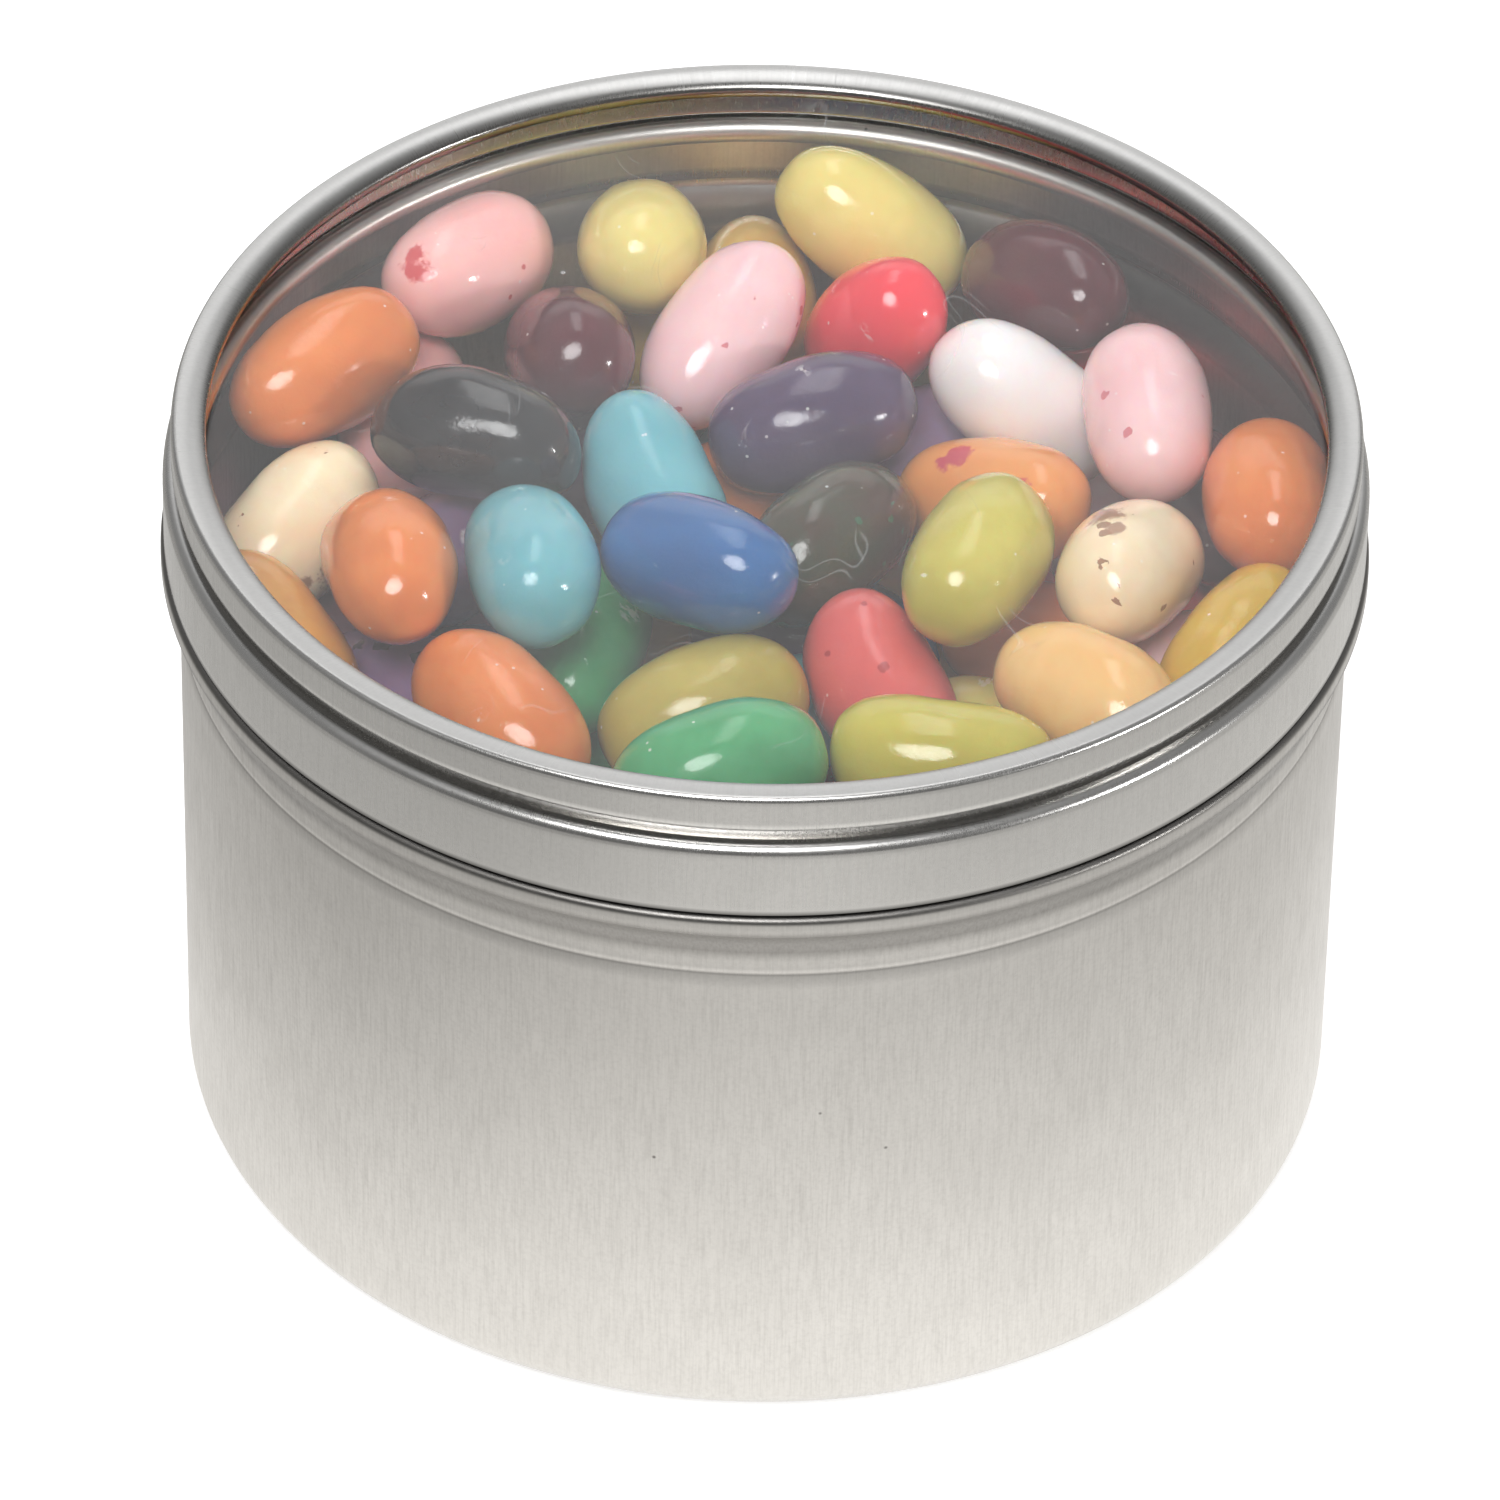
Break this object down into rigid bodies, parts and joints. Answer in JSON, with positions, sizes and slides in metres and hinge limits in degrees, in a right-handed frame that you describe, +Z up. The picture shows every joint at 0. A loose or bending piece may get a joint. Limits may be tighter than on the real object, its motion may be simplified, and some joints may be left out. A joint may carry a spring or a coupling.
{
  "type": "window lid tin",
  "caption": "Round seamless tin with a slip-on metal lid whose top is a clear window, shown filled with glossy sugar-shelled beans of many colours.",
  "frame": {"origin": "centre of the base, on the plane that the tin stands on", "axes": "+Z up along the tin's axis and the way the lid lifts; the pictured front faces -Y; +X to the right"},
  "size_m": [0.0888, 0.0888, 0.0593],
  "materials": {
    "tinplate": "satin tinplate with a fine vertical grain",
    "lid_tinplate": "satin tinplate, brushed around the rim",
    "window_plastic": "clear polished sheet",
    "mixed_shell": "glossy sugar shells of mixed colours",
    "amber_shell": "glossy sugar shell",
    "black_shell": "glossy sugar shell",
    "blue_shell": "glossy sugar shell",
    "coral_shell": "glossy sugar shell",
    "cream_shell": "glossy sugar shell",
    "dark_green_shell": "glossy sugar shell",
    "golden_shell": "glossy sugar shell",
    "green_shell": "glossy sugar shell",
    "lemon_shell": "glossy sugar shell",
    "lilac_shell": "glossy sugar shell",
    "lime_shell": "glossy sugar shell",
    "maroon_shell": "glossy sugar shell",
    "olive_shell": "glossy sugar shell",
    "orange_shell": "glossy sugar shell",
    "pale_blue_shell": "glossy sugar shell",
    "pale_pink_shell": "glossy sugar shell",
    "pale_yellow_shell": "glossy sugar shell",
    "peach_shell": "glossy sugar shell",
    "pink_shell": "glossy sugar shell",
    "red_shell": "glossy sugar shell",
    "speckled_purple_shell": "glossy sugar shell",
    "spotted_orange_shell": "glossy sugar shell",
    "violet_shell": "glossy sugar shell",
    "white_shell": "glossy sugar shell"
  },
  "bodies": {
    "tin": {"tin_body": "tinplate", "bean_bed": "mixed_shell", "amber_beans": "amber_shell", "black_beans": "black_shell", "blue_beans": "blue_shell", "coral_beans": "coral_shell", "cream_beans": "cream_shell", "dark_green_beans": "dark_green_shell", "golden_beans": "golden_shell", "green_beans": "green_shell", "lemon_beans": "lemon_shell", "lilac_beans": "lilac_shell", "lime_beans": "lime_shell", "maroon_beans": "maroon_shell", "olive_beans": "olive_shell", "orange_beans": "orange_shell", "pale_blue_beans": "pale_blue_shell", "pale_pink_beans": "pale_pink_shell", "pale_yellow_beans": "pale_yellow_shell", "peach_beans": "peach_shell", "pink_beans": "pink_shell", "red_beans": "red_shell", "speckled_purple_beans": "speckled_purple_shell", "spotted_orange_beans": "spotted_orange_shell", "violet_beans": "violet_shell", "white_beans": "white_shell"},
    "lid": {"lid_ring": "lid_tinplate", "lid_window": "window_plastic"}
  },
  "joints": [
    {"name": "lid_lift", "type": "slide", "parent": "tin", "child": "lid", "axis": [0, 0, 1], "range_m": [0, 0.045]}
  ]
}
